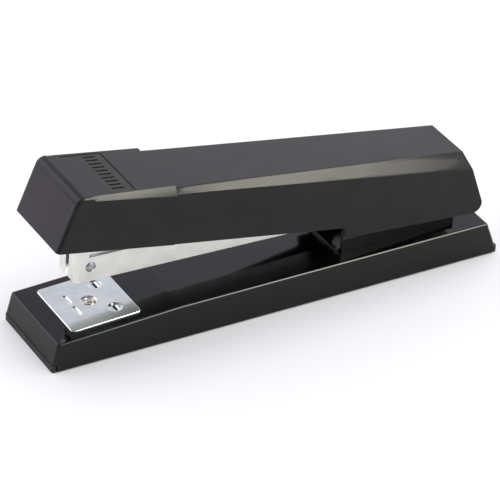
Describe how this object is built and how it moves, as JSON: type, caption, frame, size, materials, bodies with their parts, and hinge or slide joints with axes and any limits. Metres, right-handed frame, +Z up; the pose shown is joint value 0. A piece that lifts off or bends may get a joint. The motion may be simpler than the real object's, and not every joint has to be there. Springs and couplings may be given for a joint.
{
  "type": "desktop stapler",
  "caption": "Full-strip desktop stapler: sprung magazine and cover hinged on one pin, staple follower, driver blade, and an anvil that lifts and turns on a long base.",
  "frame": {"origin": "middle of the base's underside", "axes": "+X from the nose to the hinge, +Y across, +Z up"},
  "size_m": [0.2092, 0.042, 0.0752],
  "materials": {
    "base_plastic": "gloss black",
    "cover_plastic": "satin black",
    "cap_plastic": "satin black",
    "pad_rubber": "matt",
    "anvil_steel": "bright plated",
    "magazine_steel": "bright zinc plate",
    "bracket_black": "gloss black",
    "liner_steel": "satin",
    "blade_steel": "ground",
    "spring_steel": "satin",
    "stem_brass": "worn",
    "button_plastic": "satin",
    "screw_steel": "satin"
  },
  "bodies": {
    "base": {"base_shell": "base_plastic", "base_pad": "pad_rubber", "base_screws": "screw_steel", "hinge_bracket": "bracket_black", "bracket_rivets": "screw_steel", "hinge_pin": "screw_steel", "pin_clips": "screw_steel", "lift_spring": "spring_steel", "anvil_spring": "spring_steel"},
    "button": {"anvil_button": "button_plastic"},
    "anvil": {"anvil_plate": "anvil_steel", "anvil_stem": "stem_brass", "anvil_clip": "spring_steel"},
    "magazine": {"magazine_channel": "magazine_steel", "nose_studs": "screw_steel", "staple_rail": "liner_steel", "rail_rivets": "screw_steel", "rear_stop": "liner_steel", "guide_rod": "spring_steel", "staple_retainer": "magazine_steel", "follower_spring": "spring_steel", "return_spring": "spring_steel"},
    "follower": {"follower": "blade_steel"},
    "cover": {"cover_shell": "cover_plastic", "front_cap": "cap_plastic", "cover_liner": "liner_steel", "liner_screws": "screw_steel", "driver_blade": "blade_steel", "blade_rivets": "screw_steel"}
  },
  "joints": [
    {"name": "magazine_hinge", "type": "hinge", "parent": "base", "child": "magazine", "pos_m": [0.08315, 0, 0.034], "axis": [0, 1, 0], "range_deg": [-5, 80], "stiffness_Nm_per_rad": 6, "springref_deg": 1.32, "deforming": ["lift_spring"]},
    {"name": "cover_hinge", "type": "hinge", "parent": "magazine", "child": "cover", "pos_m": [0.08315, 0, 0.034], "axis": [0, 1, 0], "range_deg": [-4.3, 52], "stiffness_Nm_per_rad": 3, "springref_deg": 1.35, "deforming": ["return_spring"]},
    {"name": "follower_slide", "type": "slide", "parent": "magazine", "child": "follower", "axis": [0.9997, 0, -0.0262], "range_m": [0, 0.1], "stiffness_N_per_m": 15, "springref_m": -0.05, "deforming": ["follower_spring"]},
    {"name": "anvil_lift", "type": "slide", "parent": "base", "child": "button", "axis": [-0.0475, 0, 0.9989], "range_m": [0, 0.0008], "stiffness_N_per_m": 800, "springref_m": -0.002, "deforming": ["anvil_spring"]},
    {"name": "anvil_turn", "type": "hinge", "parent": "button", "child": "anvil", "pos_m": [-0.07845, 0, 0.01359], "axis": [-0.0475, 0, 0.9989], "range_deg": [0, 180]}
  ]
}
